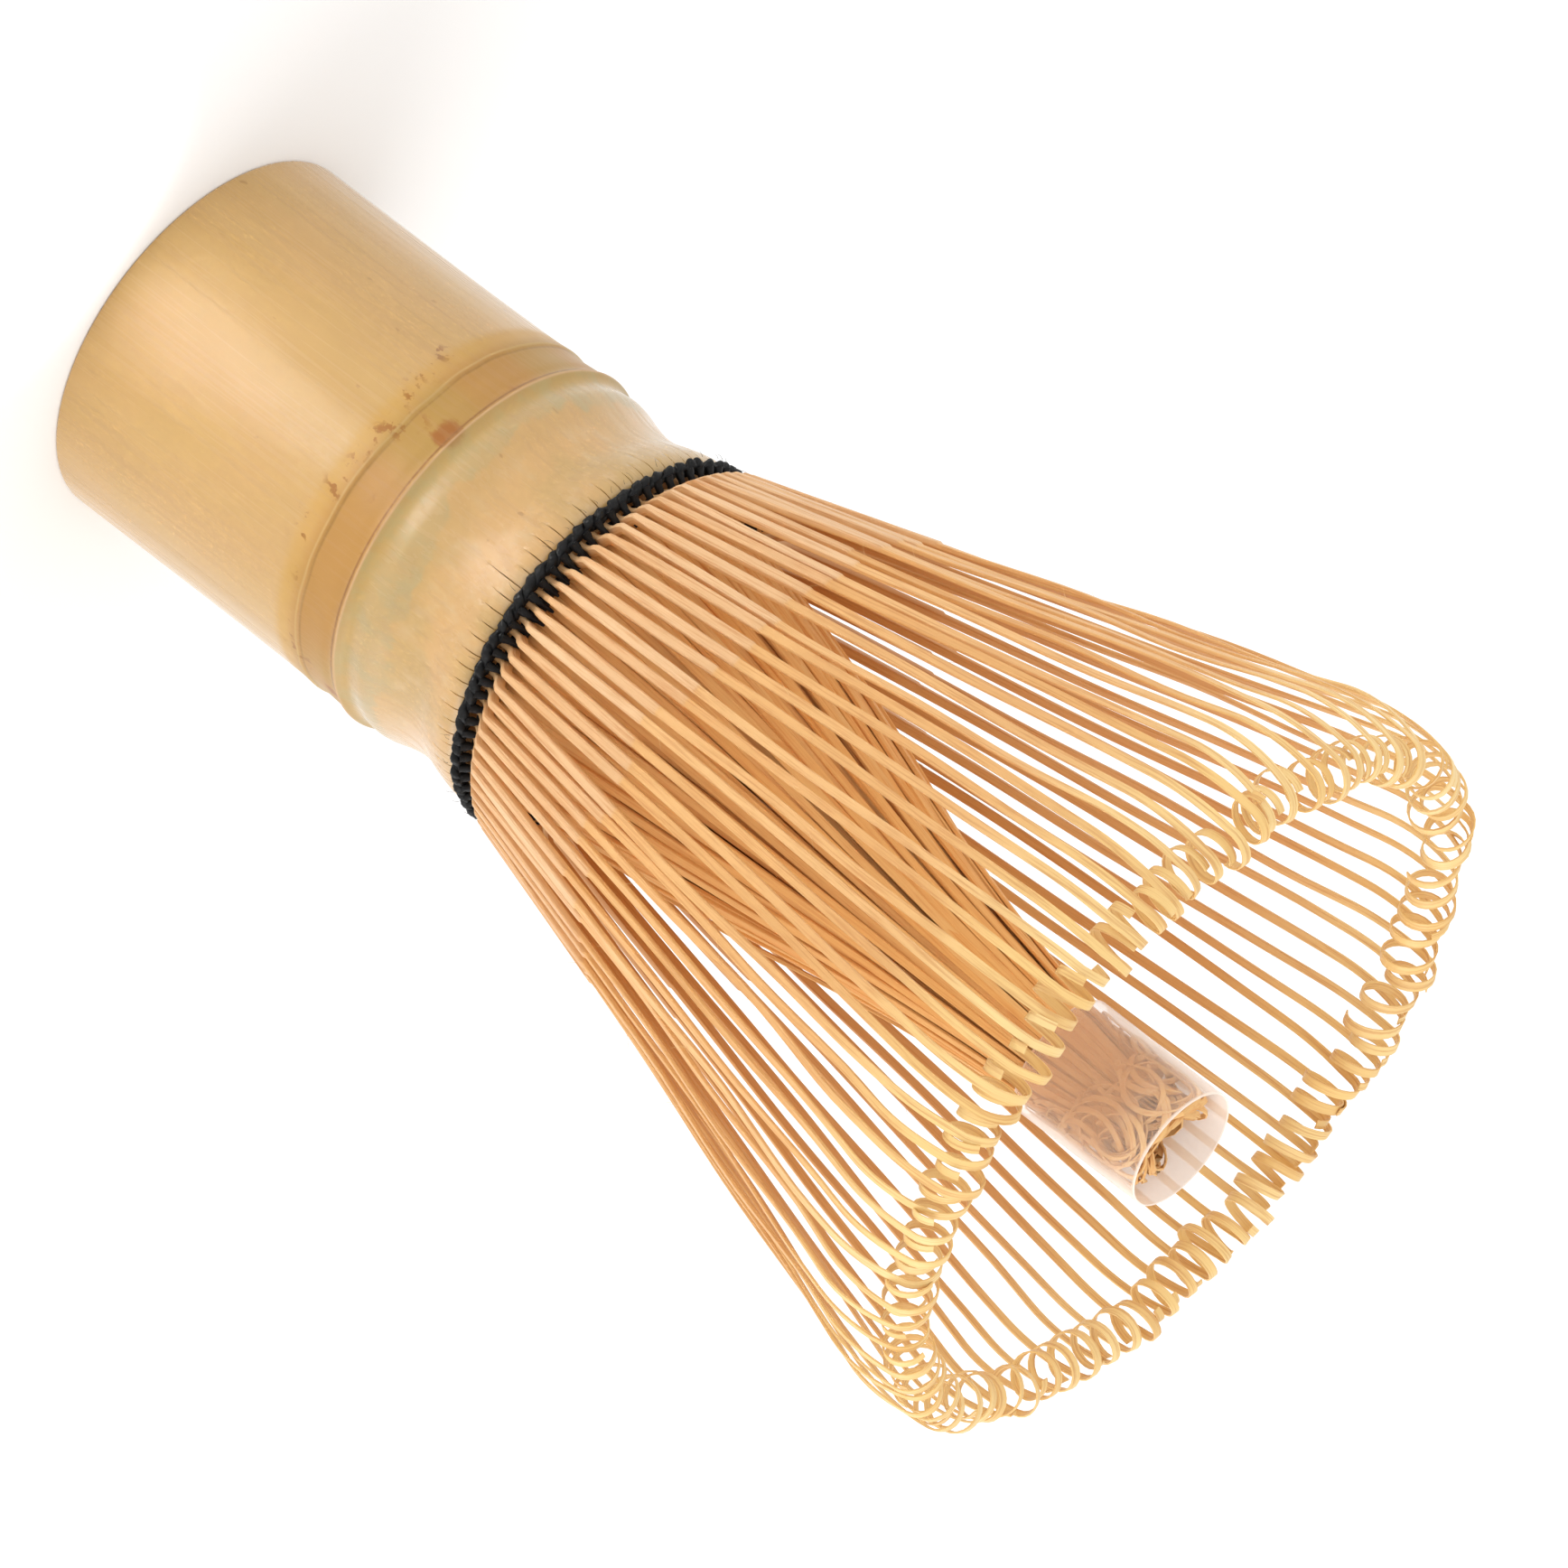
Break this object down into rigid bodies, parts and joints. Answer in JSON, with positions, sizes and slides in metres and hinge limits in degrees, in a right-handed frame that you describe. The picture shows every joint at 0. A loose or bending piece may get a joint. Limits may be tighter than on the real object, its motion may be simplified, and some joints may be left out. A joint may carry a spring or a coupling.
{
  "type": "bamboo tea whisk",
  "caption": "Bamboo whisk for frothing powdered tea: a turned culm handle, flared curled outer tines, gathered inner tines, black thread binding and a clear tip tube.",
  "frame": {"origin": "centre of the handle's flat end, where the whisk stands", "axes": "+Z along the culm's axis from the handle to the tips of the tines; +X along the long way of the oval crown, towards the side to which the gathered inner tines and their tube lean; +Y completes a right-handed frame"},
  "size_m": [0.064, 0.0554, 0.1068],
  "materials": {
    "bamboo_skin": "smooth natural culm skin, satin, fine grain along its length",
    "bamboo_outer_tine": "natural skin near the thread, shaved yellow bamboo above it",
    "bamboo_inner_tine": "split bamboo flesh, darker and drier than the skin",
    "black_thread": "black twisted thread",
    "clear_tube": "thin clear plastic, slightly frosted"
  },
  "bodies": {
    "whisk": {"handle": "bamboo_skin", "thread_round_lower": "black_thread", "thread_round_upper": "black_thread", "inner_tines_01": "bamboo_inner_tine", "inner_tines_02": "bamboo_inner_tine", "inner_tines_03": "bamboo_inner_tine", "inner_tines_04": "bamboo_inner_tine", "inner_tines_05": "bamboo_inner_tine", "inner_tines_06": "bamboo_inner_tine", "inner_tines_07": "bamboo_inner_tine", "inner_tines_08": "bamboo_inner_tine", "inner_tines_09": "bamboo_inner_tine", "inner_tines_10": "bamboo_inner_tine", "inner_tines_11": "bamboo_inner_tine", "inner_tines_12": "bamboo_inner_tine", "inner_tines_13": "bamboo_inner_tine", "inner_tines_14": "bamboo_inner_tine", "inner_tines_15": "bamboo_inner_tine", "inner_tines_16": "bamboo_inner_tine"},
    "outer_group_01": {"outer_tines_01": "bamboo_outer_tine"},
    "outer_group_02": {"outer_tines_02": "bamboo_outer_tine"},
    "outer_group_03": {"outer_tines_03": "bamboo_outer_tine"},
    "outer_group_04": {"outer_tines_04": "bamboo_outer_tine"},
    "outer_group_05": {"outer_tines_05": "bamboo_outer_tine"},
    "outer_group_06": {"outer_tines_06": "bamboo_outer_tine"},
    "outer_group_07": {"outer_tines_07": "bamboo_outer_tine"},
    "outer_group_08": {"outer_tines_08": "bamboo_outer_tine"},
    "outer_group_09": {"outer_tines_09": "bamboo_outer_tine"},
    "outer_group_10": {"outer_tines_10": "bamboo_outer_tine"},
    "outer_group_11": {"outer_tines_11": "bamboo_outer_tine"},
    "outer_group_12": {"outer_tines_12": "bamboo_outer_tine"},
    "outer_group_13": {"outer_tines_13": "bamboo_outer_tine"},
    "outer_group_14": {"outer_tines_14": "bamboo_outer_tine"},
    "outer_group_15": {"outer_tines_15": "bamboo_outer_tine"},
    "outer_group_16": {"outer_tines_16": "bamboo_outer_tine"},
    "tube": {"tip_tube": "clear_tube"}
  },
  "joints": [
    {"name": "flex_01", "type": "hinge", "parent": "whisk", "child": "outer_group_01", "pos_m": [0.01485, 0, 0.044], "axis": [0, 1, 0], "range_deg": [-3, 5], "stiffness_Nm_per_rad": 0.01},
    {"name": "flex_02", "type": "hinge", "parent": "whisk", "child": "outer_group_02", "pos_m": [0.01372, 0.00568, 0.044], "axis": [-0.3827, 0.9239, 0], "range_deg": [-3, 5], "stiffness_Nm_per_rad": 0.01},
    {"name": "flex_03", "type": "hinge", "parent": "whisk", "child": "outer_group_03", "pos_m": [0.0105, 0.0105, 0.044], "axis": [-0.7071, 0.7071, 0], "range_deg": [-3, 5], "stiffness_Nm_per_rad": 0.01},
    {"name": "flex_04", "type": "hinge", "parent": "whisk", "child": "outer_group_04", "pos_m": [0.00568, 0.01372, 0.044], "axis": [-0.9239, 0.3827, 0], "range_deg": [-3, 5], "stiffness_Nm_per_rad": 0.01},
    {"name": "flex_05", "type": "hinge", "parent": "whisk", "child": "outer_group_05", "pos_m": [0, 0.01485, 0.044], "axis": [-1, 0, 0], "range_deg": [-3, 5], "stiffness_Nm_per_rad": 0.01},
    {"name": "flex_06", "type": "hinge", "parent": "whisk", "child": "outer_group_06", "pos_m": [-0.00568, 0.01372, 0.044], "axis": [-0.9239, -0.3827, 0], "range_deg": [-3, 5], "stiffness_Nm_per_rad": 0.01},
    {"name": "flex_07", "type": "hinge", "parent": "whisk", "child": "outer_group_07", "pos_m": [-0.0105, 0.0105, 0.044], "axis": [-0.7071, -0.7071, 0], "range_deg": [-3, 5], "stiffness_Nm_per_rad": 0.01},
    {"name": "flex_08", "type": "hinge", "parent": "whisk", "child": "outer_group_08", "pos_m": [-0.01372, 0.00568, 0.044], "axis": [-0.3827, -0.9239, 0], "range_deg": [-3, 5], "stiffness_Nm_per_rad": 0.01},
    {"name": "flex_09", "type": "hinge", "parent": "whisk", "child": "outer_group_09", "pos_m": [-0.01485, 0, 0.044], "axis": [0, -1, 0], "range_deg": [-3, 5], "stiffness_Nm_per_rad": 0.01},
    {"name": "flex_10", "type": "hinge", "parent": "whisk", "child": "outer_group_10", "pos_m": [-0.01372, -0.00568, 0.044], "axis": [0.3827, -0.9239, 0], "range_deg": [-3, 5], "stiffness_Nm_per_rad": 0.01},
    {"name": "flex_11", "type": "hinge", "parent": "whisk", "child": "outer_group_11", "pos_m": [-0.0105, -0.0105, 0.044], "axis": [0.7071, -0.7071, 0], "range_deg": [-3, 5], "stiffness_Nm_per_rad": 0.01},
    {"name": "flex_12", "type": "hinge", "parent": "whisk", "child": "outer_group_12", "pos_m": [-0.00568, -0.01372, 0.044], "axis": [0.9239, -0.3827, 0], "range_deg": [-3, 5], "stiffness_Nm_per_rad": 0.01},
    {"name": "flex_13", "type": "hinge", "parent": "whisk", "child": "outer_group_13", "pos_m": [0, -0.01485, 0.044], "axis": [1, 0, 0], "range_deg": [-3, 5], "stiffness_Nm_per_rad": 0.01},
    {"name": "flex_14", "type": "hinge", "parent": "whisk", "child": "outer_group_14", "pos_m": [0.00568, -0.01372, 0.044], "axis": [0.9239, 0.3827, 0], "range_deg": [-3, 5], "stiffness_Nm_per_rad": 0.01},
    {"name": "flex_15", "type": "hinge", "parent": "whisk", "child": "outer_group_15", "pos_m": [0.0105, -0.0105, 0.044], "axis": [0.7071, 0.7071, 0], "range_deg": [-3, 5], "stiffness_Nm_per_rad": 0.01},
    {"name": "flex_16", "type": "hinge", "parent": "whisk", "child": "outer_group_16", "pos_m": [0.01372, -0.00568, 0.044], "axis": [0.3827, 0.9239, 0], "range_deg": [-3, 5], "stiffness_Nm_per_rad": 0.01},
    {"name": "tube_slide", "type": "slide", "parent": "whisk", "child": "tube", "axis": [0, 0, 1], "range_m": [0, 0.02]}
  ]
}
